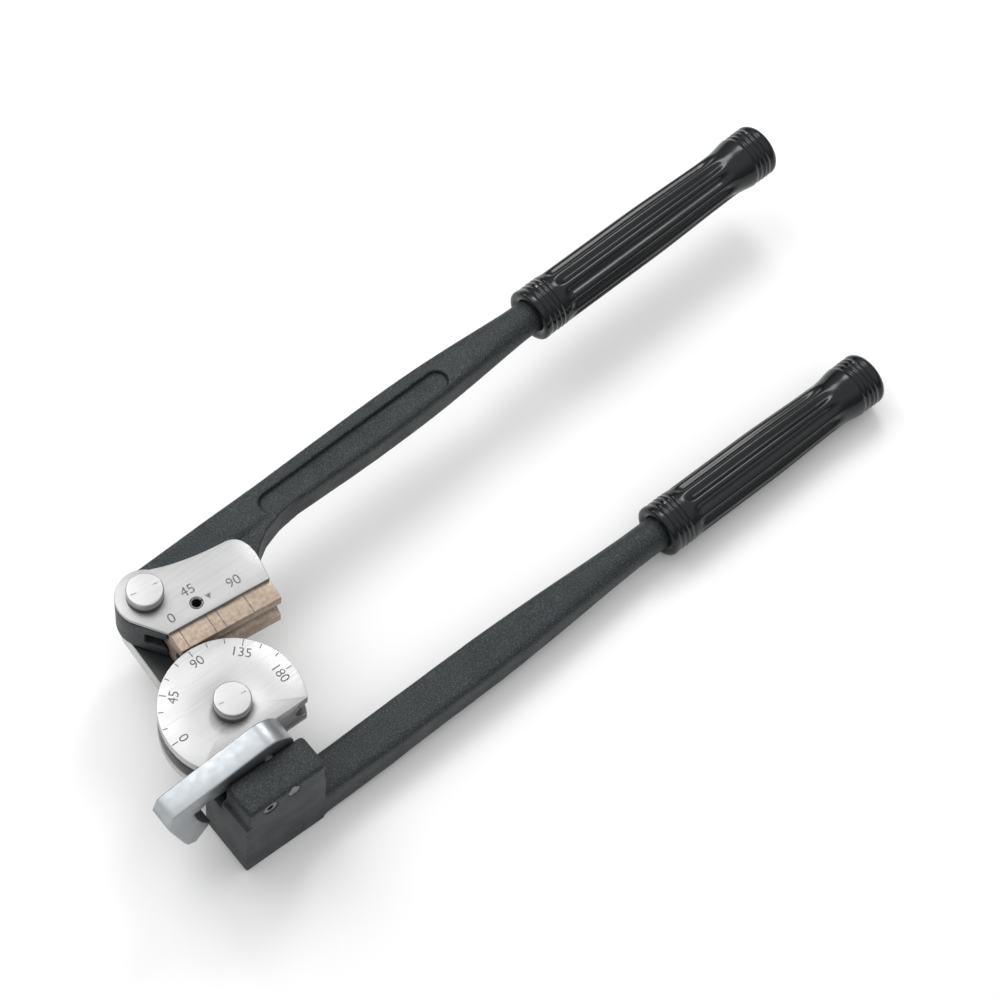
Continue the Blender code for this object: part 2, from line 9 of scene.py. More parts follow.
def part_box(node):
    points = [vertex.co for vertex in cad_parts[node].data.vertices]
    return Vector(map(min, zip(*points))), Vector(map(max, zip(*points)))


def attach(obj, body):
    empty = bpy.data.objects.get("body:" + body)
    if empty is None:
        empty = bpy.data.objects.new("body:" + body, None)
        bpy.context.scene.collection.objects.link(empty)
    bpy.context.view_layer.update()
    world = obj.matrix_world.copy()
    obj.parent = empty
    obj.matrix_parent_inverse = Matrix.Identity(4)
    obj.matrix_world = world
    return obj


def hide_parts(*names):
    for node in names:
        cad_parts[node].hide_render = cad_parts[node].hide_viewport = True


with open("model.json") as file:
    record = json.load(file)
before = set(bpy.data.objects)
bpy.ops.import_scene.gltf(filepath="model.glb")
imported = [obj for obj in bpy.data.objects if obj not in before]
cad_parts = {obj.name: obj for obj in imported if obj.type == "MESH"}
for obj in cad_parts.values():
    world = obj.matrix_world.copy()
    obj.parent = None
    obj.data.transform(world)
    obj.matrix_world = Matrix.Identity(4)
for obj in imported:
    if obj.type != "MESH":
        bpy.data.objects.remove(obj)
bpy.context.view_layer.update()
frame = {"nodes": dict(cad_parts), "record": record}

mm = 0.001
joints = {joint["name"]: joint for joint in frame["record"]["behaviour"]["joints"]}
# the axes the object turns on, and the levels of its top faces
formCentre = Vector(joints["link_swing"]["pos_m"]).xy.to_3d()
pinCentre = Vector(joints["shoe_handle_swing"]["pos_m"]).xy.to_3d()
latchPivot = Vector(joints["latch_swing"]["pos_m"])
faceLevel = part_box("bending_form")[1].z
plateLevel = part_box("shoe_scale_plate")[1].z
grooveLevel = faceLevel - 12.5 * mm
formFrame = Matrix.Translation(formCentre)
shoeTurn = math.radians(-5.0)
shoeFrame = formFrame @ Matrix.Rotation(shoeTurn, 4, "Z")
print("frame loaded")


# shapes are modelled in millimetres, then scaled and placed once by toObject

# points round a centre, from one angle in degrees to another
def arcPoints(centre, radius, start, end, steps):
    points = []
    for i in range(steps + 1):
        angle = math.radians(start + (end - start) * i / steps)
        points.append((centre[0] + radius * math.cos(angle), centre[1] + radius * math.sin(angle)))
    return points


# points on a bow from start to end, drawn towards pull
def bowPoints(start, pull, end, steps):
    points = []
    for i in range(steps + 1):
        t = i / steps
        weights = ((1 - t) ** 2, 2 * t * (1 - t), t ** 2)
        points.append(tuple(sum(w * p[k] for w, p in zip(weights, (start, pull, end))) for k in (0, 1)))
    return points


# eases from a to b while t goes from 0 to 1
def blend(a, b, t):
    t = max(0.0, min(1.0, t))
    t = t * t * (3 - 2 * t)
    return a + (b - a) * t


# outline filled, extruded up, its rims rounded by edge
def slab(outline, low, high, edge=0.0, segments=3):
    bm = bmesh.new()
    ring = [bm.verts.new((x, y, low)) for x, y in outline]
    bm.faces.new(ring)
    up = bmesh.ops.extrude_face_region(bm, geom=bm.faces[:])
    bmesh.ops.translate(bm, vec=(0, 0, high - low),
                        verts=[v for v in up["geom"] if isinstance(v, bmesh.types.BMVert)])
    bmesh.ops.recalc_face_normals(bm, faces=bm.faces)
    if edge:
        rims = [e for e in bm.edges if abs(e.verts[0].co.z - e.verts[1].co.z) < 1e-6]
        bmesh.ops.bevel(bm, geom=rims, offset=edge, offset_type="OFFSET", segments=segments,
                        profile=0.5, affect="EDGES", material=-1, clamp_overlap=True)
    return bm


# a box between two values on each axis, its edges rounded by edge
def brick(x, y, z, edge=0.0, segments=3):
    bm = bmesh.new()
    bmesh.ops.create_cube(bm, size=1.0)
    bmesh.ops.scale(bm, vec=(x[1] - x[0], y[1] - y[0], z[1] - z[0]), verts=bm.verts)
    middle = [sum(pair) / 2 for pair in (x, y, z)]
    bmesh.ops.translate(bm, vec=middle, verts=bm.verts)
    if edge:
        bmesh.ops.bevel(bm, geom=bm.edges[:], offset=edge, offset_type="OFFSET", segments=segments,
                        profile=0.5, affect="EDGES", material=-1)
    return bm


# (radius, height) points spun about Z, with the poles and the seam closed
def lathe(profile, steps):
    bm = bmesh.new()
    line = [bm.verts.new((r, 0, z)) for r, z in profile]
    for a, b in zip(line, line[1:]):
        bm.edges.new((a, b))
    if min(r for r, z in profile) > 1e-6:
        bm.edges.new((line[-1], line[0]))
    bmesh.ops.spin(bm, geom=bm.verts[:] + bm.edges[:], cent=(0, 0, 0), axis=(0, 0, 1),
                   angle=2 * math.pi, steps=steps, use_merge=True)
    bmesh.ops.remove_doubles(bm, verts=bm.verts, dist=1e-4)
    bmesh.ops.recalc_face_normals(bm, faces=bm.faces)
    return bm


# a round bar between two values on its axis, which stands at a place on the other two
def post(radius, low, high, steps=48, axis="Z", at=(0, 0)):
    bm = bmesh.new()
    bmesh.ops.create_cone(bm, cap_ends=True, segments=steps, radius1=radius, radius2=radius,
                          depth=high - low)
    bmesh.ops.translate(bm, vec=(0, 0, (low + high) / 2), verts=bm.verts)
    if axis == "X":
        bmesh.ops.rotate(bm, matrix=Matrix.Rotation(math.pi / 2, 3, "Y"), verts=bm.verts)
        bmesh.ops.translate(bm, vec=(0, at[0], at[1]), verts=bm.verts)
    elif axis == "Y":
        bmesh.ops.rotate(bm, matrix=Matrix.Rotation(-math.pi / 2, 3, "X"), verts=bm.verts)
        bmesh.ops.translate(bm, vec=(at[0], 0, at[1]), verts=bm.verts)
    else:
        bmesh.ops.translate(bm, vec=(at[0], at[1], 0), verts=bm.verts)
    return bm


# rounded-box sections strung along X; a station is (x, y, z, halfWidth, halfHeight, squareness)
def loft(stations, around=48):
    bm = bmesh.new()
    rings = []
    for x, y, z, wide, tall, power in stations:
        ring = bmesh.ops.create_circle(bm, cap_ends=False, segments=around, radius=1.0)["verts"]
        for v in ring:
            c, s = v.co.x, v.co.y
            grow = (abs(c) ** power + abs(s) ** power) ** (-1.0 / power)
            v.co = Vector((x, y + wide * c * grow, z + tall * s * grow))
        rings.append(ring)
    bm.edges.ensure_lookup_table()
    loops = [[e for e in bm.edges if e.verts[0] in set(ring) and e.verts[1] in set(ring)]
             for ring in rings]
    for a, b in zip(loops, loops[1:]):
        bmesh.ops.bridge_loops(bm, edges=a + b)
    bmesh.ops.contextual_create(bm, geom=loops[0])
    bmesh.ops.contextual_create(bm, geom=loops[-1])
    bmesh.ops.recalc_face_normals(bm, faces=bm.faces)
    return bm


def moved(bm, matrix):
    bmesh.ops.transform(bm, matrix=matrix, verts=bm.verts)
    return bm


# several bmeshes as one, still separate shells
def merged(*shapes):
    total = bmesh.new()
    for shape in shapes:
        mesh = bpy.data.meshes.new("part")
        shape.to_mesh(mesh)
        total.from_mesh(mesh)
        bpy.data.meshes.remove(mesh)
        shape.free()
    return total


# writes a millimetre bmesh into a mesh in metres at its place, on an object at the origin
def toObject(name, bm, place=None):
    if place is not None:
        scaled = place @ Matrix.Scale(mm, 4)
        bmesh.ops.transform(bm, matrix=scaled, verts=bm.verts)
    mesh = bpy.data.meshes.new(name)
    bm.to_mesh(mesh)
    bm.free()
    obj = bpy.data.objects.new(name, mesh)
    bpy.context.scene.collection.objects.link(obj)
    return obj


# applies what modifiers the object has
def settle(obj):
    graph = bpy.context.evaluated_depsgraph_get()
    made = bpy.data.meshes.new_from_object(obj.evaluated_get(graph))
    old = obj.data
    obj.modifiers.clear()
    obj.data = made
    bpy.data.meshes.remove(old)
    made.name = obj.name
    return obj


# cuts one object out of another and throws the cutter away
def carve(obj, cutter, solver="EXACT"):
    step = obj.modifiers.new("carve", "BOOLEAN")
    step.operation = "DIFFERENCE"
    step.object = cutter
    step.solver = solver
    settle(obj)
    bpy.data.objects.remove(cutter, do_unlink=True)
    return obj


# a small bevel on the sharp edges, in metres
def softenRim(obj, width):
    rim = obj.modifiers.new("rim", "BEVEL")
    rim.width = width
    rim.segments = 2
    rim.limit_method = "ANGLE"
    rim.angle_limit = math.radians(50)
    return settle(obj)


# one material, smooth shading below an angle, its body and the nodes it stands for; the finish name it is
# given is not used
def finishPiece(obj, body, slot, material, *nodes, angle=35):
    obj.data.materials.clear()
    obj.data.materials.append(material)
    obj.data.shade_smooth()
    obj.data.set_sharp_from_angle(angle=math.radians(angle))
    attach(obj, body)
    if nodes:
        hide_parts(*nodes)
    return obj


# overlapping shells fused by a voxel remesh, cut, fused again and smoothed like a casting
def castBody(name, solids, cuts, voxel, passes, keep):
    obj = toObject(name, merged(*solids))
    for i in range(2):
        fuse = obj.modifiers.new("fuse", "REMESH")
        fuse.mode = "VOXEL"
        fuse.voxel_size = voxel
        settle(obj)
        if i == 0:
            for k, cut in enumerate(cuts):
                carve(obj, toObject(f"{name}_cut_{k}", cut), "MANIFOLD")
    bm = bmesh.new()
    bm.from_mesh(obj.data)
    for i in range(passes):
        bmesh.ops.smooth_vert(bm, verts=bm.verts, factor=0.5,
                              use_axis_x=True, use_axis_y=True, use_axis_z=True)
    bm.to_mesh(obj.data)
    bm.free()
    thin = obj.modifiers.new("thin", "DECIMATE")
    thin.ratio = keep
    return settle(obj)


# scales a finished millimetre mesh and puts it in its place
def placeMesh(obj, place):
    obj.data.transform(place @ Matrix.Scale(mm, 4))


# one generic number as a thin flat mesh on a face
def letters(name, text, height, x, y, level, turn, thick=0.06):
    curve = bpy.data.curves.new(name, "FONT")
    curve.body = text
    curve.size = height * 1.35  # a figure is about three quarters of its font size
    curve.align_x = "CENTER"
    curve.align_y = "CENTER"
    curve.extrude = thick / 2
    holder = bpy.data.objects.new(name, curve)
    bpy.context.scene.collection.objects.link(holder)
    graph = bpy.context.evaluated_depsgraph_get()
    mesh = bpy.data.meshes.new_from_object(holder.evaluated_get(graph))
    bpy.data.objects.remove(holder, do_unlink=True)
    bm = bmesh.new()
    bm.from_mesh(mesh)
    bpy.data.meshes.remove(mesh)
    bmesh.ops.remove_doubles(bm, verts=bm.verts, dist=1e-4)
    return moved(bm, Matrix.Translation((x, y, level)) @ Matrix.Rotation(turn, 4, "Z"))


def startMaterial(name, colour, roughness, metallic):
    made = bpy.data.materials.new(name)
    made.use_nodes = True
    tree = made.node_tree
    shader = tree.nodes["Principled BSDF"]
    shader.inputs["Base Color"].default_value = (*colour, 1)
    shader.inputs["Roughness"].default_value = roughness
    shader.inputs["Metallic"].default_value = metallic
    coords = tree.nodes.new("ShaderNodeTexCoord").outputs["Object"]
    return made, tree, shader, coords


# noise in cells per metre, stretched and turned about Z where asked
def noise(tree, coords, scale, detail=3.0, stretch=None, turn=0.0):
    if stretch:
        mapping = tree.nodes.new("ShaderNodeMapping")
        mapping.inputs["Scale"].default_value = stretch
        mapping.inputs["Rotation"].default_value = (0, 0, turn)
        tree.links.new(coords, mapping.inputs["Vector"])
        coords = mapping.outputs["Vector"]
    node = tree.nodes.new("ShaderNodeTexNoise")
    node.inputs["Scale"].default_value = scale
    node.inputs["Detail"].default_value = detail
    tree.links.new(coords, node.inputs["Vector"])
    return node.outputs["Fac"]


def ramp(tree, fac, *stops):
    node = tree.nodes.new("ShaderNodeValToRGB")
    while len(node.color_ramp.elements) < len(stops):
        node.color_ramp.elements.new(0.5)
    for element, (place, colour) in zip(node.color_ramp.elements, stops):
        element.position = place
        element.color = (*colour, 1)
    tree.links.new(fac, node.inputs["Fac"])
    return node.outputs["Color"]


# maps a factor between start and end onto low to high
def spread(tree, fac, low, high, start=0.3, end=0.7):
    node = tree.nodes.new("ShaderNodeMapRange")
    node.inputs["From Min"].default_value = start
    node.inputs["From Max"].default_value = end
    node.inputs["To Min"].default_value = low
    node.inputs["To Max"].default_value = high
    tree.links.new(fac, node.inputs["Value"])
    return node.outputs["Result"]


def product(tree, a, b):
    node = tree.nodes.new("ShaderNodeMath")
    node.operation = "MULTIPLY"
    tree.links.new(a, node.inputs[0])
    tree.links.new(b, node.inputs[1])
    return node.outputs["Value"]


def mixed(tree, fac, a, b):
    node = tree.nodes.new("ShaderNodeMix")
    node.data_type = "RGBA"
    tree.links.new(fac, node.inputs["Factor"])
    for socket, value in ((node.inputs[6], a), (node.inputs[7], b)):
        if isinstance(value, tuple):
            socket.default_value = (*value, 1)
        else:
            tree.links.new(value, socket)
    return node.outputs[2]


def bumpFrom(tree, shader, height, distance, strength=1.0):
    node = tree.nodes.new("ShaderNodeBump")
    node.inputs["Distance"].default_value = distance
    node.inputs["Strength"].default_value = strength
    tree.links.new(height, node.inputs["Height"])
    tree.links.new(node.outputs["Normal"], shader.inputs["Normal"])


def edgeWear(tree, start, end):
    node = tree.nodes.new("ShaderNodeNewGeometry")
    return spread(tree, node.outputs["Pointiness"], 0.0, 1.0, start, end)


# textured black coating: light grains on a blue-black ground, rubbed a little at the edges
def castPaint():
    made, tree, shader, coords = startMaterial("textured_black_coating", (0.02, 0.023, 0.025), 0.5, 0.0)
    grain = noise(tree, coords, 1400, 3.0)
    patches = noise(tree, coords, 60, 3.0)
    colour = ramp(tree, grain, (0.36, (0.0032, 0.0048, 0.0056)), (0.50, (0.0112, 0.0155, 0.0172)),
                  (0.70, (0.048, 0.062, 0.068)))
    worn = mixed(tree, edgeWear(tree, 0.56, 0.66), colour, (0.062, 0.078, 0.086))  # rubbed edges
    tree.links.new(worn, shader.inputs["Base Color"])
    tree.links.new(spread(tree, patches, 0.44, 0.60), shader.inputs["Roughness"])
    shader.inputs["Specular IOR Level"].default_value = 0.4
    bumpFrom(tree, shader, grain, 0.00035, 0.8)
    return made


# hard glossy moulding with faint flow marks and handling scuffs
def gripPlastic():
    made, tree, shader, coords = startMaterial("glossy_black_grip", (0.007, 0.008, 0.009), 0.2, 0.0)
    shader.inputs["Specular IOR Level"].default_value = 0.33
    flow = noise(tree, coords, 30, 4.0, (0.5, 3.0, 3.0))
    scuffs = noise(tree, coords, 240, 5.0, (0.25, 1.6, 1.6))
    tree.links.new(spread(tree, scuffs, 0.12, 0.24), shader.inputs["Roughness"])
    tint = ramp(tree, flow, (0.3, (0.0022, 0.0032, 0.0040)), (0.7, (0.0055, 0.0075, 0.0090)))
    tree.links.new(tint, shader.inputs["Base Color"])
    bumpFrom(tree, shader, scuffs, 0.00006, 0.5)
    return made


# satin plated steel with fine grinding lines, and painted shade: a dark band between two levels
def groundSteel(name="ground_steel", tone=0.385, lay=0.0, band=None, beyond=-1.0):
    made, tree, shader, coords = startMaterial(name, (tone, tone, tone), 0.36, 1.0)
    lines = noise(tree, coords, 420, 4.0, (0.05, 2.2, 2.2), lay)
    cloud = noise(tree, coords, 45, 3.0)
    low, high = tone * 0.90, min(1.0, tone * 1.08)
    base = ramp(tree, lines, (0.25, (low, low, low * 1.01)), (0.75, (high, high, high)))
    stained = (low * 0.92, low * 0.91, low * 0.90)
    dull = mixed(tree, spread(tree, cloud, 0.0, 0.35, 0.45, 0.75), base, stained)
    if band:
        split = tree.nodes.new("ShaderNodeSeparateXYZ")
        tree.links.new(coords, split.inputs["Vector"])
        soft = 0.3 * mm
        above = spread(tree, split.outputs["Z"], 0.0, 1.0, band[0] - soft, band[0])
        below = spread(tree, split.outputs["Z"], 1.0, 0.0, band[1], band[1] + soft)
        inside = spread(tree, split.outputs["Y"], 0.0, 0.9, beyond - soft, beyond)
        # painted shade: near-black is mixed in between the two levels, in place of the groove's shade and
        # the shadow under a bolt head
        oilFilmAndShade = product(tree, product(tree, above, below), inside)
        dull = mixed(tree, oilFilmAndShade, dull, (0.055, 0.056, 0.058))
    tree.links.new(dull, shader.inputs["Base Color"])
    tree.links.new(spread(tree, lines, 0.32, 0.48), shader.inputs["Roughness"])
    bumpFrom(tree, shader, lines, 0.00003, 0.6)
    return made


# smooth satin casting, plated a cool grey, with slight orange peel
def latchPlating():
    made, tree, shader, coords = startMaterial("latch_plating", (0.4, 0.43, 0.44), 0.34, 0.9)
    peel = noise(tree, coords, 260, 2.0)
    cloud = noise(tree, coords, 40, 3.0)
    tint = ramp(tree, cloud, (0.3, (0.32, 0.34, 0.355)), (0.7, (0.39, 0.405, 0.42)))
    tree.links.new(tint, shader.inputs["Base Color"])
    tree.links.new(spread(tree, peel, 0.28, 0.40), shader.inputs["Roughness"])
    bumpFrom(tree, shader, peel, 0.00006, 0.5)
    return made


# tan plated steel, mottled pink to straw, with cutter lines across it
def bronzePlating():
    made, tree, shader, coords = startMaterial("bronze_plating", (0.4, 0.3, 0.24), 0.42, 0.7)
    mottle = noise(tree, coords, 430, 6.0)
    lines = noise(tree, coords, 380, 3.0, (1.8, 0.12, 1.8))
    tint = ramp(tree, mottle, (0.30, (0.30, 0.225, 0.175)), (0.50, (0.365, 0.285, 0.225)),
                (0.72, (0.42, 0.36, 0.30)))
    tree.links.new(tint, shader.inputs["Base Color"])
    tree.links.new(spread(tree, lines, 0.36, 0.52), shader.inputs["Roughness"])
    bumpFrom(tree, shader, lines, 0.00004, 0.6)
    return made


# grey steel that turns to tan plating towards the form, with painted shade: its top face black and not
# metallic
def linkPlating(along):
    made, tree, shader, coords = startMaterial("link_plating", (0.6, 0.6, 0.6), 0.42, 0.8)
    split = tree.nodes.new("ShaderNodeSeparateXYZ")
    tree.links.new(coords, split.inputs["Vector"])
    mottle = noise(tree, coords, 90, 4.0)
    grey = ramp(tree, mottle, (0.3, (0.46, 0.465, 0.46)), (0.7, (0.62, 0.625, 0.615)))
    tan = ramp(tree, mottle, (0.3, (0.34, 0.27, 0.21)), (0.7, (0.48, 0.40, 0.33)))
    side = spread(tree, split.outputs["Y"], 1.0, 0.0, along[0], along[1])
    plated = mixed(tree, side, grey, tan)
    facing = tree.nodes.new("ShaderNodeSeparateXYZ")
    normal = tree.nodes.new("ShaderNodeTexCoord").outputs["Normal"]
    tree.links.new(normal, facing.inputs["Vector"])
    # painted shade: faces that point up go black and lose their metal, in place of the shadow under the
    # shoe handle's head
    shadedTop = spread(tree, facing.outputs["Z"], 0.0, 1.0, 0.90, 0.97)
    tree.links.new(mixed(tree, shadedTop, plated, (0.014, 0.016, 0.017)), shader.inputs["Base Color"])
    tree.links.new(spread(tree, shadedTop, 0.8, 0.0, 0.0, 1.0), shader.inputs["Metallic"])
    tree.links.new(spread(tree, mottle, 0.36, 0.5), shader.inputs["Roughness"])
    bumpFrom(tree, shader, mottle, 0.00005, 0.5)
    return made


# oiled dark steel of nuts and pins
def darkSteel():
    made, tree, shader, coords = startMaterial("oiled_dark_steel", (0.16, 0.16, 0.17), 0.38, 1.0)
    oilFilmAndShade = noise(tree, coords, 320, 4.0)
    tree.links.new(ramp(tree, oilFilmAndShade, (0.3, (0.10, 0.10, 0.105)), (0.7, (0.24, 0.24, 0.25))),
                   shader.inputs["Base Color"])
    tree.links.new(spread(tree, oilFilmAndShade, 0.28, 0.5), shader.inputs["Roughness"])
    return made


# dark etched marks, thin where the etch took less
def markInk():
    made, tree, shader, coords = startMaterial("etched_mark", (0.16, 0.16, 0.16), 0.8, 0.0)
    shader.inputs["Specular IOR Level"].default_value = 0.1
    fade = noise(tree, coords, 700, 3.0)
    tree.links.new(ramp(tree, fade, (0.35, (0.11, 0.11, 0.115)), (0.7, (0.28, 0.28, 0.28))),
                   shader.inputs["Base Color"])
    return made


blackCoat = castPaint()
blackGrip = gripPlastic()
steel = groundSteel()
# painted shade: the form's groove is darkened beyond its flat, and so is a low band round each bolt head,
# where the shadow under the head falls
shadeBands = {"groove": 6.3 * mm, "beyond": formCentre.y - 18.6 * mm, "boltBand": 3.2 * mm}
formSteel = groundSteel("form_steel", 0.45, math.radians(50),
                        (grooveLevel - shadeBands["groove"], grooveLevel + shadeBands["groove"]), shadeBands["beyond"])
boltSteels = [groundSteel(f"{name}_steel", 0.48, math.radians(20), (seat, seat + shadeBands["boltBand"]))
              for name, seat in (("form_bolt", faceLevel), ("shoe_bolt", plateLevel))]
latchCoat = latchPlating()
bronze = bronzePlating()
oiled = darkSteel()
ink = markInk()
print("materials ready")


form = {"radius": 38.0, "thick": 25.0, "grooveRadius": 6.35, "bend": 38.1, "flat": -19.0, "bore": 6.2,
        "edge": 0.5, "lip": 0.3,
        "footX": (-24, 12), "footY": (-33, -18.4), "footTop": 44.2, "footEdge": 0.4,
        "screwX": (-18.0, 6.0), "screwY": -26, "screwHole": 3.3, "screwDepth": 12,
        "ticks": 13, "tickStep": 15, "tickRadius": 37.3, "tickHalf": 0.28,
        "tickLong": 3.6, "tickShort": 2.6,
        "numberRadius": 29.8, "numberHeight": 5.5}
markRise = 0.05  # how far a mark stands above its face, and reaches below it
numberRise = 0.02


def makeForm():
    top = faceLevel / mm
    low = top - form["thick"]
    middle = top - form["thick"] / 2
    groove = arcPoints((form["bend"], middle), form["grooveRadius"], 90, 270, 28)[1:-1]
    radius, edge, lip = form["radius"], form["edge"], form["grooveRadius"] + form["lip"]
    profile = [(form["bore"], top), (radius - edge, top), (radius - 0.3 * edge, top - 0.3 * edge),
               (radius, top - edge), (radius, middle + lip), *groove, (radius, middle - lip),
               (radius, low + edge), (radius - edge, low), (form["bore"], low)]
    disc = toObject("form_disc", lathe(profile, 160), formFrame)
    far = 60  # well past the disc
    below = brick((-far, far), (-far, form["flat"]), (low - 5, top + 5))
    carve(disc, toObject("form_below", below, formFrame))
    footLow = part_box("bending_form")[0].z / mm
    foot = brick(form["footX"], form["footY"], (footLow, form["footTop"]), form["footEdge"])
    foot = toObject("form_foot", foot, formFrame)
    fuse = disc.modifiers.new("foot", "BOOLEAN")
    fuse.operation = "UNION"
    fuse.object = foot
    settle(disc)
    bpy.data.objects.remove(foot, do_unlink=True)
    for i, x in enumerate(form["screwX"]):
        hole = post(form["screwHole"], footLow - 1, footLow + form["screwDepth"], at=(x, form["screwY"]))
        carve(disc, toObject(f"foot_hole_{i}", hole, formFrame))
    disc.name = "bending_form_body"
    softenRim(disc, 0.3 * mm)
    finishPiece(disc, "form_handle_body", "satin_steel", formSteel, "bending_form", angle=30)


def makeFormScale():
    marks, numbers = [], []
    top = faceLevel / mm
    for i in range(form["ticks"]):
        angle = math.radians(180 - form["tickStep"] * i)
        long = form["tickShort"] if i % 3 else form["tickLong"]
        tick = brick((form["tickRadius"] - long, form["tickRadius"]), (-form["tickHalf"], form["tickHalf"]),
                     (top - markRise, top + markRise))
        marks.append(moved(tick, Matrix.Rotation(angle, 4, "Z")))
        if i % 3 == 0:
            value = str(form["tickStep"] * i)
            numbers.append(letters(f"form_number_{value}", value, form["numberHeight"],
                                   form["numberRadius"] * math.cos(angle),
                                   form["numberRadius"] * math.sin(angle),
                                   top + numberRise, angle - math.pi / 2))
    scale = toObject("form_scale_marks", merged(*marks, *numbers), formFrame)
    finishPiece(scale, "form_handle_body", "dark_steel", ink)


makeForm()
makeFormScale()
print("form done")


bolt = {"radius": 9.8, "shank": 6.0, "edge": 0.9, "underEdge": 0.3, "seatGap": 0.3,
        "mark": (5.0, 7.6), "markHalf": 0.5, "markDepth": 0.35, "markTurn": -8.0,
        "threadTop": 9.0, "threadLead": 0.4, "threadLong": 8.0, "pitch": 1.5, "crest": 1.2, "root": 1.75}
nut = {"across": 17.0, "hole": 5.0, "dome": 10.6, "flat": 8.2, "chamfer": 1.4}


def makeBolt(node, body, centre, seat, material):
    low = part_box(node)[0].z / mm
    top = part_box(node)[1].z / mm
    edge = bolt["edge"]
    corner = arcPoints((bolt["radius"] - edge, top - edge), edge, 90, 0, 6)
    shank = bolt["shank"]
    crest, root, thread = shank - bolt["crest"], shank - bolt["root"], low + bolt["threadTop"]
    under = bolt["underEdge"]
    profile = [(0, top), *corner, (bolt["radius"], seat + under), (bolt["radius"] - under, seat),
               (shank, seat), (shank, thread), (crest, thread)]
    for i in range(int(bolt["threadLong"] / bolt["pitch"])):
        at = thread - bolt["threadLead"] - i * bolt["pitch"]
        profile += [(crest, at), (root, at - bolt["pitch"] / 2)]
    profile += [(crest, low + 0.7), (root - 0.05, low), (0, low)]
    place = Matrix.Translation(centre)
    made = toObject(f"{node}_turned", lathe(profile, 96), place)
    for i, turn in enumerate((bolt["markTurn"], bolt["markTurn"] + 180)):
        dash = brick(bolt["mark"], (-bolt["markHalf"], bolt["markHalf"]),
                     (top - bolt["markDepth"], top + 1))
        moved(dash, Matrix.Rotation(math.radians(turn), 4, "Z"))
        carve(made, toObject(f"{node}_mark_{i}", dash, place))
    finishPiece(made, body, "satin_steel", material, node, angle=32)


def makeNut(node, body, centre):
    low, high = (corner.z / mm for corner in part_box(node))
    corners = arcPoints((0, 0), nut["across"] / math.sqrt(3), 0, 300, 5)
    place = Matrix.Translation(centre)
    made = toObject(f"{node}_hex", slab(corners, low, high), place)
    above, below = high + 0.01, low - 0.01  # just past the flats, for a clean cut
    domed = lathe([(0, above), (nut["flat"], above), (nut["dome"], high - nut["chamfer"]),
                   (nut["dome"], low + nut["chamfer"]), (nut["flat"], below), (0, below)], 64)
    keep = made.modifiers.new("chamfer", "BOOLEAN")
    keep.operation = "INTERSECT"
    keep.object = toObject(f"{node}_dome", domed, place)
    cone = keep.object
    settle(made)
    bpy.data.objects.remove(cone, do_unlink=True)
    carve(made, toObject(f"{node}_hole", post(nut["hole"], low - 1, high + 1), place))
    finishPiece(made, body, "dark_steel", oiled, node, angle=25)


makeBolt("form_bolt", "form_handle_body", formCentre, faceLevel / mm + bolt["seatGap"], boltSteels[0])
makeBolt("shoe_bolt", "link_body", pinCentre, plateLevel / mm + bolt["seatGap"], boltSteels[1])
makeNut("form_bolt_nut", "form_handle_body", formCentre)
makeNut("shoe_bolt_nut", "link_body", pinCentre)
print("bolts done")


shoe = {"x": (-6.5, 53.2), "y": (38.8, 62.0), "edge": 0.45, "groove": 6.45, "bend": 38.1,
        "lines": (-1.2, 14.8, 20.6, 37.0), "lineWidth": 0.6, "pinAt": (14.0, 57.9), "pinHole": 3.68,
        "dowelX": (24.0, 44.0), "dowelHole": 3.2, "dowelDepth": 8}
plate = {"bottom": 50.2, "pin": (-6.35, 74.8), "headRadius": 15.7, "edge": 0.35, "boltHole": 6.2,
         "numbers": (("0", -1.4, 56.8), ("45", 13.8, 66.3), ("90", 36.5, 58.6)), "height": 5.9,
         "pointer": ((21.4, 56.4), (23.2, 59.4), (19.6, 59.4))}


# foot edge, right end, sloping back, then round the bolt's head
def plateOutline():
    px, py = plate["pin"]
    corner = (-7.2, plate["bottom"])
    reach = math.hypot(corner[0] - px, corner[1] - py)
    lean = math.degrees(math.atan2(corner[1] - py, corner[0] - px))
    tangent = lean + 360 - math.degrees(math.acos(plate["headRadius"] / reach))
    return [corner, (53.3, plate["bottom"] + 0.3), (55.1, 66.0),
            *bowPoints((55.1, 66.5), (54.5, 80.5), (44.7, 81.0), 20)[1:],
            *bowPoints((44.7, 81.0), (20.0, 81.2), (3.4, 87.2), 20)[1:-1],
            *arcPoints(plate["pin"], plate["headRadius"], 52, tangent, 56)]


def makeShoe():
    low, high = (corner.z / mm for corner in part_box("shoe"))
    body = toObject("shoe_block", brick(shoe["x"], shoe["y"], (low, high), shoe["edge"]), shoeFrame)
    middle = (low + high) / 2
    groove = post(shoe["groove"], shoe["x"][0] - 5, shoe["x"][1] + 5, 96, "X", (shoe["bend"], middle))
    carve(body, toObject("shoe_groove_cut", groove, shoeFrame))
    pin = post(shoe["pinHole"], low - 5, high + 5, at=shoe["pinAt"])
    carve(body, toObject("shoe_pin_cut", pin, shoeFrame))
    for i, x in enumerate(shoe["dowelX"]):
        back = shoe["y"][1]
        dowel = post(shoe["dowelHole"], back - shoe["dowelDepth"], back + 3, 32, "Y", (x, middle))
        carve(body, toObject(f"shoe_dowel_cut_{i}", dowel, shoeFrame))
    softenRim(body, 0.25 * mm)
    finishPiece(body, "shoe_handle_body", "bronze_plated", bronze, "shoe", angle=30)
    lines = []
    half = shoe["lineWidth"] / 2
    for x in shoe["lines"]:
        lines.append(brick((x - half, x + half), (shoe["y"][0] + 0.5, plate["bottom"] + 2),
                           (high - markRise, high + 0.04)))
    marks = toObject("shoe_index_lines", merged(*lines), shoeFrame)
    finishPiece(marks, "shoe_handle_body", "dark_steel", ink)


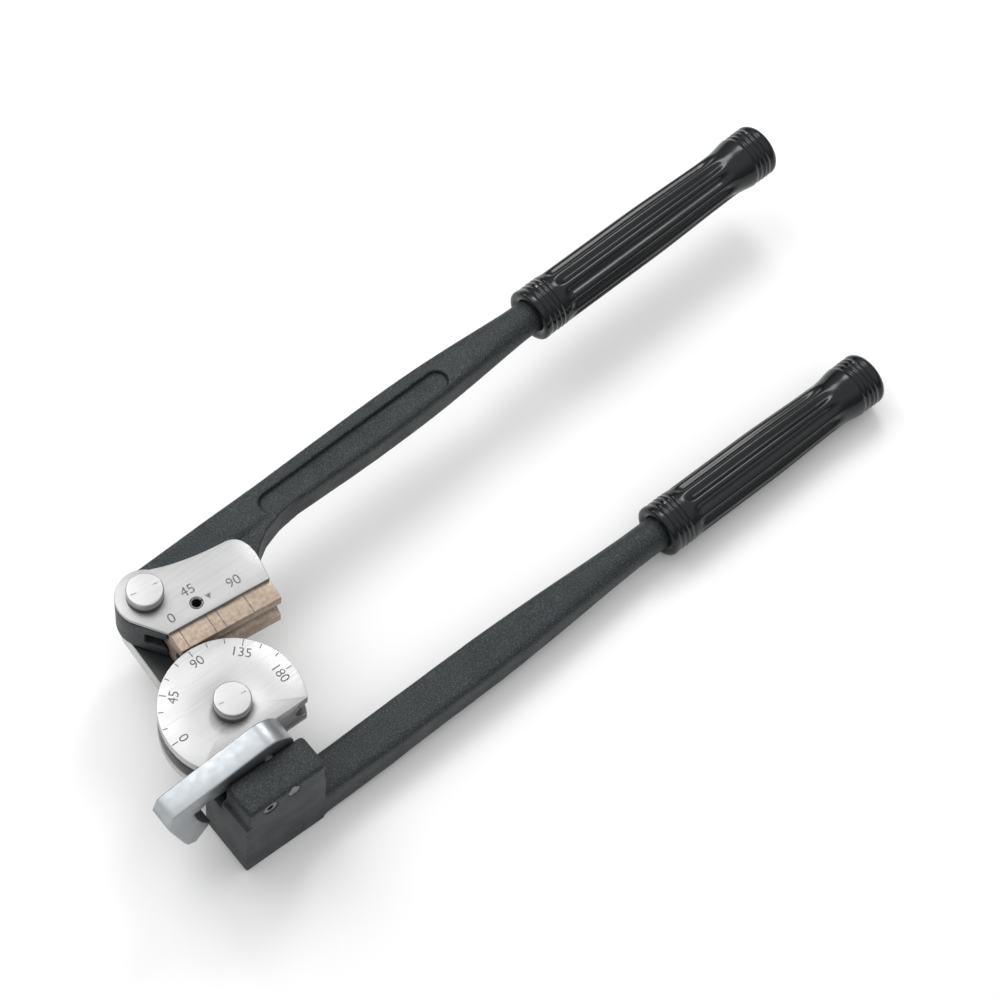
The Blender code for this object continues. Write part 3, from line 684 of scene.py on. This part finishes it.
def makePlate():
    low, high = (corner.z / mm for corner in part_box("shoe_scale_plate"))
    made = toObject("scale_plate_body", slab(plateOutline(), low, high, plate["edge"]), shoeFrame)
    holes = {"bolt": (plate["boltHole"], plate["pin"]), "pin": (shoe["pinHole"], shoe["pinAt"])}
    for name, (radius, at) in holes.items():
        hole = post(radius, low - 3, high + 3, at=at)
        carve(made, toObject(f"plate_{name}_cut", hole, shoeFrame))
    finishPiece(made, "shoe_handle_body", "satin_steel", steel, "shoe_scale_plate", angle=30)
    marks = [letters(f"plate_number_{text}", text, plate["height"], x, y, high + numberRise, 0.0)
             for text, x, y in plate["numbers"]]
    pointer = slab(plate["pointer"], high - 0.04, high + markRise)
    numbers = toObject("plate_scale_marks", merged(*marks, pointer), shoeFrame)
    finishPiece(numbers, "shoe_handle_body", "dark_steel", ink)


rollPin = {"bore": 2.3, "radius": 3.6, "chamfer": 0.4, "slit": 0.35}


def makeRollPin():
    low, high = (corner.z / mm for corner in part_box("shoe_roll_pin"))
    bore, radius, chamfer = rollPin["bore"], rollPin["radius"], rollPin["chamfer"]
    ring = [(bore, high - chamfer), (bore + chamfer, high), (radius - 0.3, high), (radius, high - chamfer),
            (radius, low + 0.5), (radius - chamfer, low), (bore, low)]
    place = shoeFrame @ Matrix.Translation((shoe["pinAt"][0] * mm, shoe["pinAt"][1] * mm, 0))
    made = toObject("shoe_roll_pin_sleeve", lathe(ring, 48), place)
    slit = brick((0, 6), (-rollPin["slit"], rollPin["slit"]), (low - 1, high + 1))
    carve(made, toObject("roll_pin_slit", slit, place))
    finishPiece(made, "shoe_handle_body", "dark_steel", oiled, "shoe_roll_pin")


makeShoe()
makePlate()
makeRollPin()
print("shoe done")


block = {"x": (-32.0, 18.0), "y": (-55.0, -19.3), "wallY": -34.0, "wallDrop": 14, "padX": -30.0,
         "padEdge": 2.4, "endX": -26.0, "endDrop": 22, "bossRadius": 18.0, "bossLevels": (7.8, 25.8),
         "boltHole": 6.4, "pinHole": 3.7, "pinAt": (-2.5, 4.0),
         "plungerHole": 4.2, "plungerAt": (-17.0, 5.5),
         "screwHole": 3.4, "screwHead": 5.6, "screwHeadDepth": 7.5,
         "voxel": 0.9, "passes": 3, "keep": 0.45}
arm = {"start": (18.0, -44.0), "turn": 2.0, "level": 16.0, "length": 241.0, "neck": 9.5, "y": (-12.0, 11.5),
       "levels": (-11.5, 10.3), "wide": 110.0, "buried": 14, "inGrip": 6,  # its ends in block and grip
       "square": 7.0, "round": 2.0, "squareTo": 90, "steps": 40}
shoeArm = {"turn": 3.5, "offset": 5.6, "level": 52.5, "length": 274.0, "neck": 9.5, "steps": 48,
           "top": (16.8, 18.0), "low": (-4.2, -6.6), "half": (12.3, 10.2), "taperFrom": 170,
           "square": 6.5, "round": 2.0, "squareTo": 190,
           "recess": (86.5, 203.3), "recessY": 3.0, "recessRadius": 6.3, "recessDepth": 3.0,
           "slotLevels": (48.0, 57.0), "slotAlong": (-2.0, 13.0), "slotDepth": 7.0,
           "headThick": 25.0, "boltHole": 6.4, "voxel": 0.7, "passes": 2, "keep": 0.42}


def makeFormHandle():
    face = faceLevel / mm
    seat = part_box("bending_form")[0].z / mm - 0.3
    x, y = block["x"], block["y"]
    wall = (y[0], block["wallY"])
    solids = [brick(x, y, (0, seat)), brick(x, wall, (5, face - block["wallDrop"])),
              brick((block["padX"], x[1]), wall, (6, face + 1), block["padEdge"], 4),
              brick((x[0], block["endX"]), (wall[1] - 1, y[1]), (7, face - block["endDrop"]))]
    boss = block["bossRadius"]
    outline = [(-boss, y[1] - 5), (boss, y[1] - 5), *arcPoints((0, 0), boss, 0, 180, 40)]
    solids.append(slab(outline, *block["bossLevels"]))
    # the arm is deep and square at the block, and round at its neck
    length, neck, level = arm["length"], arm["neck"], arm["level"]
    run = length + arm["buried"] + arm["inGrip"]
    stations = []
    for i in range(arm["steps"] + 1):
        at = -arm["buried"] + run * i / arm["steps"]
        t = (at - arm["wide"]) / (length - arm["inGrip"] - arm["wide"])
        right = blend(blend(-11.0, arm["y"][0], at / 50), -neck, t)
        left = blend(arm["y"][1], neck, t)
        under = blend(0.2, level + arm["levels"][0], at / 80)
        low = blend(under, level - neck, t)
        high = blend(level + arm["levels"][1], level + neck, t)
        power = blend(arm["square"], arm["round"], (at - arm["squareTo"]) / (length - 100))
        stations.append((at, (left + right) / 2, (low + high) / 2, (left - right) / 2, (high - low) / 2,
                         power))
    turn = Matrix.Translation((*arm["start"], 0)) @ Matrix.Rotation(math.radians(arm["turn"]), 4, "Z")
    solids.append(moved(loft(stations), turn))
    cuts = [post(block["boltHole"], 5, 29)]
    for name in ("pin", "plunger"):
        across, drop = block[f"{name}At"]
        cuts.append(post(block[f"{name}Hole"], wall[0] - 3, wall[1] + 3, 32, "Y", (across, face - drop)))
    for at in form["screwX"]:
        spot = (at, form["screwY"])
        cuts += [post(block["screwHole"], -2, seat + 2, 32, at=spot),
                 post(block["screwHead"], -2, block["screwHeadDepth"], 32, at=spot)]
    made = castBody("form_handle_casting", solids, cuts, block["voxel"], block["passes"], block["keep"])
    placeMesh(made, formFrame)
    finishPiece(made, "form_handle_body", "cast_black", blackCoat, "form_handle", angle=60)


# upper and lower edge of the shoe handle's arm, above its pin's line
def shoeArmEdges(at):
    neckTop, neckLow = shoeArm["offset"] + shoeArm["neck"], shoeArm["offset"] - shoeArm["neck"]
    length = shoeArm["length"]
    if at < shoeArm["taperFrom"]:  # past here the arm tapers into the neck
        top = blend(*shoeArm["top"], (at - 30) / 140)
        low = blend(*shoeArm["low"], (at - 70) / 90)
    else:
        top = blend(shoeArm["top"][1], neckTop, (at - 170) / (length - 172))
        low = blend(shoeArm["low"][1], neckLow, (at - 175) / (length - 177))
    return top, low


def makeShoeHandle():
    face = faceLevel / mm
    level = shoeArm["level"]
    outline = plateOutline()
    seat, side = shoe["y"][1] + 0.3, shoe["x"][0] - 0.3  # clear of the shoe
    headRound = outline[-57:]  # the part that follows the bolt's head
    headLine = [(side - 0.2, plate["bottom"] + 0.4), (side, seat), (52.5, seat), (54.0, 66.0), (52.0, 79.5),
                (40.0, 86.0), (10.0, 88.0), *headRound]
    head = moved(slab(headLine, face - shoeArm["headThick"], face), Matrix.Rotation(shoeTurn, 4, "Z"))
    length = shoeArm["length"]
    stations = []
    for i in range(shoeArm["steps"] + 1):
        at = 4 + length * i / shoeArm["steps"]
        top, low = shoeArmEdges(at)
        past = at - shoeArm["squareTo"]
        tall = blend(blend(*shoeArm["half"], (at - 45) / 50), shoeArm["neck"], past / (length - 194))
        power = blend(shoeArm["square"], shoeArm["round"], past / (length - shoeArm["squareTo"]))
        stations.append((at, (top + low) / 2, level + blend(0.1, 0.2, at / 60), (top - low) / 2, tall,
                         power))
    offset = pinCentre - formCentre
    turn = Matrix.Translation(offset / mm) @ Matrix.Rotation(math.radians(shoeArm["turn"]), 4, "Z")
    # the web that fills the corner between head and arm
    web = slab([(52, 10), (100, 10), (100, -4.0), (86, -5.2), (74, -8.5), (66, -13.0), (60, -18.0),
                (52, -18.0)], level - 9.5, level + 10.0)
    solids = [head, moved(loft(stations), turn), moved(web, turn)]
    nearEnd, farEnd = ((x, shoeArm["recessY"]) for x in shoeArm["recess"])
    recess = [*arcPoints(nearEnd, shoeArm["recessRadius"], 90, 270, 24),
              *arcPoints(farEnd, shoeArm["recessRadius"], -90, 90, 24)]
    at = turn @ Vector((0, 0, 0))
    # the slot in the head's flat side, which runs from the plate's corner to its round
    corner, tangent = outline[0], outline[-1]
    lean = math.atan2(tangent[1] - corner[1], tangent[0] - corner[0])
    side = brick(shoeArm["slotAlong"], (-shoeArm["slotDepth"], 5), shoeArm["slotLevels"])
    moved(side, Matrix.Translation((*corner, 0)) @ Matrix.Rotation(lean, 4, "Z"))
    recessFloor = level + 10.3 - shoeArm["recessDepth"]
    cuts = [post(shoeArm["boltHole"], 30, face + 5, at=(at.x, at.y)),
            moved(side, Matrix.Rotation(shoeTurn, 4, "Z")),
            moved(slab(recess, recessFloor, level + 20, 0.8, 2), turn)]
    made = castBody("shoe_handle_casting", solids, cuts, shoeArm["voxel"], shoeArm["passes"],
                    shoeArm["keep"])
    placeMesh(made, formFrame)
    finishPiece(made, "shoe_handle_body", "cast_black", blackCoat, "shoe_handle", angle=60)


makeFormHandle()
makeShoeHandle()
print("castings done")


grip = {"around": 132, "step": 0.75, "flutes": 11, "fluteDepth": 2.0, "ringPitch": 3.2, "ringDepth": 0.7,
        "collar": 15.4, "collarLength": 17.0, "body": 15.1, "waist": 13.9, "bell": 15.6, "bellLength": 30.0,
        "endRound": 4.0, "endDrop": 3.4, "mouth": 9.8, "mouthDepth": 7.0,
        "fluteStart": 18.5, "fluteEnd": 44.0, "collarRings": 4.0, "bellRings": 13,
        "length": {"form_handle_grip": 162.0, "shoe_handle_grip": 181.0}}


# depth of the round grooves at a distance past the first one
def ringCut(past):
    return grip["ringDepth"] * (0.5 - 0.5 * math.cos(2 * math.pi * past / grip["ringPitch"])) ** 0.7


# outer radius along the grip, before flutes: collar, body, waist, bell and rounded end
def gripRadius(at, length):
    collarEnd, bellStart = grip["collarLength"], length - grip["bellLength"]
    if at < collarEnd:
        radius = grip["collar"]
        if at < 1.5:
            radius -= 1.2 * (1 - at / 1.5) ** 2
        elif at > grip["collarRings"]:
            radius -= ringCut(at - grip["collarRings"])
    elif at < bellStart:
        radius = blend(grip["body"], grip["waist"], (at - length * 0.45) / (bellStart - length * 0.45))
    else:
        radius = blend(grip["waist"], grip["bell"], (at - bellStart) / 14.0)
        if bellStart + grip["bellRings"] < at < length - grip["endRound"] - 0.2:
            radius -= ringCut(at - bellStart - grip["bellRings"])
        if at > length - grip["endRound"]:
            t = 1 - (length - at) / grip["endRound"]
            radius -= grip["endDrop"] * (1 - math.sqrt(max(0.0, 1 - t * t)))
    return radius


# how deep the flutes run, from 0 at both ends to 1 between
def fluteWindow(at, length):
    rise = blend(0, 1, (at - grip["fluteStart"]) / 7.0)
    return rise * blend(1, 0, (at - (length - grip["fluteEnd"])) / 16.0)


def makeGrip(node, body, start, turn, level):
    length = grip["length"][node]
    steps = int(length / grip["step"])
    profile = [(0.0, length)]
    for i in range(steps + 1):
        at = length * (steps - i) / steps
        profile.append((gripRadius(at, length), at))
    mouth, depth = grip["mouth"], grip["mouthDepth"]
    profile += [(mouth + 2.0, 0.0), (mouth, 1.2), (mouth, depth), (0.0, depth)]
    bm = lathe(profile, grip["around"])
    for v in bm.verts:
        radius = math.hypot(v.co.x, v.co.y)
        if radius < mouth + 1:  # the mouth and the end's centre stay round
            continue
        angle = math.atan2(v.co.y, v.co.x)
        wave = 0.5 - 0.5 * math.cos(grip["flutes"] * angle)
        cutIn = grip["fluteDepth"] * wave ** 1.3 * fluteWindow(v.co.z, length)
        v.co.x *= (radius - cutIn) / radius
        v.co.y *= (radius - cutIn) / radius
    lay = Matrix.Rotation(turn, 4, "Z") @ Matrix.Rotation(math.pi / 2, 4, "Y")
    made = toObject(f"{node}_moulding", bm, Matrix.Translation((start[0], start[1], level)) @ lay)
    finishPiece(made, body, "grip_black", blackGrip, node, angle=50)


# a place along a handle that starts at a point and is turned about Z
def alongHandle(start, turn, distance, offset=0.0):
    return start + Matrix.Rotation(turn, 3, "Z") @ Vector((distance, offset, 0)) * mm


armTurn = math.radians(arm["turn"])
gripStart = alongHandle(formCentre + Vector((*arm["start"], 0)) * mm, armTurn, arm["length"])
makeGrip("form_handle_grip", "form_handle_body", gripStart, armTurn, arm["level"] * mm)
shoeArmTurn = math.radians(shoeArm["turn"])
gripStart = alongHandle(pinCentre, shoeArmTurn, shoeArm["length"], shoeArm["offset"])
makeGrip("shoe_handle_grip", "shoe_handle_body", gripStart, shoeArmTurn, shoeArm["level"] * mm)
print("grips done")


latch = {"knuckle": 16.0, "reach": 45.4, "edge": 1.3, "edgeSteps": 5, "pinHole": 3.75,
         "nose": ((-56.0, 7.2), (-58.6, 6.0), (-61.5, -2.0), (-60.0, -8.0)),
         "leg": ((-52.0, -33.0), (-50.0, -37.5), (-45.0, -40.0)),
         "inside": ((-43.0, -5.0), (-38.0, -3.0), (-20.0, -3.0))}


def makeLatch():
    depth = (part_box("latch")[1].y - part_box("latch")[0].y) / mm
    # knuckle, nose, outer side of the leg, then back inside it round the tube
    line = [*arcPoints((0, 0), latch["knuckle"], -140, 96, 64), *latch["nose"], *latch["leg"],
            *arcPoints((0, 0), latch["reach"], 218, 186, 24), *latch["inside"]]
    bm = slab(line, -depth / 2, depth / 2, latch["edge"], latch["edgeSteps"])
    place = Matrix.Translation(latchPivot) @ Matrix.Rotation(math.pi / 2, 4, "X")
    made = toObject("latch_casting", bm, place)
    hole = post(latch["pinHole"], -depth, depth, 48)
    carve(made, toObject("latch_pin_cut", hole, place))
    finishPiece(made, "latch_body", "satin_steel", latchCoat, "latch", angle=40)


makeLatch()
print("latch done")


link = {"hub": 17.0, "tip": 13.5, "edge": 0.7, "hole": 8.7, "tanFrom": 34 * mm, "tanOver": 16 * mm}


def makeLink():
    low, high = (corner.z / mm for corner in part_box("link"))
    reach = (pinCentre - formCentre).length / mm
    heading = math.atan2(*reversed((pinCentre - formCentre).xy))
    hub, tip = link["hub"], link["tip"]
    lean = math.degrees(math.asin((hub - tip) / reach))
    outline = [*arcPoints((0, 0), hub, 90 - lean, 270 + lean, 64),
               *arcPoints((reach, 0), tip, -90 + lean, 90 - lean, 56)]
    place = formFrame @ Matrix.Rotation(heading, 4, "Z")
    made = toObject("link_bar", slab(outline, low, high, link["edge"]), place)
    for i, x in enumerate((0.0, reach)):
        hole = post(link["hole"], low - 2, high + 2, 64, at=(x, 0))
        carve(made, toObject(f"link_hole_{i}", hole, place))
    tanStart = formCentre.y + link["tanFrom"]
    plating = linkPlating((tanStart, tanStart + link["tanOver"]))
    finishPiece(made, "link_body", "satin_steel", plating, "link", angle=30)


makeLink()
# small parts that keep the meshes they come with
cadMaterials = {"form_screw_1": oiled, "form_screw_2": oiled, "latch_pin": oiled,
                "latch_detent_plunger": oiled, "shoe_dowel_1": oiled, "shoe_dowel_2": oiled,
                "arm_spacer_washer": steel, "form_spacer_washer": steel, "shoe_spacer_washer": steel,
                "shoe_bolt_washer": steel, "link_form_bush": bronze, "link_shoe_bush": bronze}
for node, material in cadMaterials.items():
    for spot in frame["nodes"][node].material_slots:
        spot.material = material
print("small parts done")


stage = {"size": 6.0, "centre": (0.2, 0.0), "drop": 0.6 * mm}  # the floor lies just under the object
lights = {"key": ((-0.15, 0.85, 1.35), (0.15, 0.0, 0.0), 1.1, 6.5),  # where, at what, width, power
          "rim": ((0.75, 0.55, 0.9), (0.25, 0.0, 0.0), 0.35, 2.5),
          "streak": ((0.05, 1.25, 0.62), (0.3, 0.05, 0.0), 0.22, 2.2)}


def makeStage():
    floorMaterial, tree, shader, coords = startMaterial("pale_floor", (0.93, 0.93, 0.93), 0.9, 0.0)
    cloud = noise(tree, coords, 3.0)
    tree.links.new(ramp(tree, cloud, (0.3, (0.91, 0.91, 0.91)), (0.7, (0.95, 0.95, 0.95))),
                   shader.inputs["Base Color"])
    bm = bmesh.new()
    bmesh.ops.create_grid(bm, x_segments=1, y_segments=1, size=stage["size"])
    floor = toObject("pale_floor", bm)
    floor.location = (*stage["centre"], -stage["drop"])
    floor.data.materials.append(floorMaterial)


def makeLight(name, spot, aim, size, power):
    lamp = bpy.data.lights.new(name, "AREA")
    lamp.shape = "DISK"
    lamp.size = size
    lamp.energy = power
    holder = bpy.data.objects.new(name, lamp)
    holder.location = spot
    holder.rotation_mode = "QUATERNION"
    holder.rotation_quaternion = (Vector(aim) - Vector(spot)).to_track_quat("-Z", "Y")
    bpy.context.scene.collection.objects.link(holder)


# a studio dome: bright overhead, dim towards the horizon
def makeSky():
    world = bpy.data.worlds.new("studio_dome")
    bpy.context.scene.world = world
    world.use_nodes = True
    tree = world.node_tree
    split = tree.nodes.new("ShaderNodeSeparateXYZ")
    tree.links.new(tree.nodes.new("ShaderNodeTexCoord").outputs["Generated"], split.inputs["Vector"])
    glow = ramp(tree, split.outputs["Z"], (0.0, (0.20, 0.20, 0.20)), (0.40, (0.42, 0.42, 0.42)),
                (0.75, (1.08, 1.08, 1.08)))
    tree.links.new(glow, tree.nodes["Background"].inputs["Color"])
    tree.nodes["Background"].inputs["Strength"].default_value = 1.0


camera = {"lens": 108.0, "sensor": 36, "tilt": -0.5171, "lean": 0.0765, "roll": 39.0, "away": 1.5059,
          "aside": (-0.13425, -0.10287)}


# stands off the form's face centre, tilted, leaned and rolled
def makeCamera():
    turn = (Matrix.Rotation(camera["tilt"], 3, "X") @ Matrix.Rotation(camera["lean"], 3, "Y")
            @ Matrix.Rotation(math.radians(camera["roll"]), 3, "Z"))
    back = turn.transposed()
    centre = Vector((formCentre.x, formCentre.y, faceLevel))
    place = centre - back @ Vector((*camera["aside"], -camera["away"]))
    data = bpy.data.cameras.new("camera")
    data.lens = camera["lens"]
    data.sensor_width = camera["sensor"]
    holder = bpy.data.objects.new("camera", data)
    holder.matrix_world = Matrix.Translation(place) @ back.to_4x4()
    bpy.context.scene.collection.objects.link(holder)
    bpy.context.scene.camera = holder


makeStage()
for name, settings in lights.items():
    makeLight(name, *settings)
makeSky()
bpy.context.scene.view_settings.view_transform = "Standard"
makeCamera()

print("stage ready")
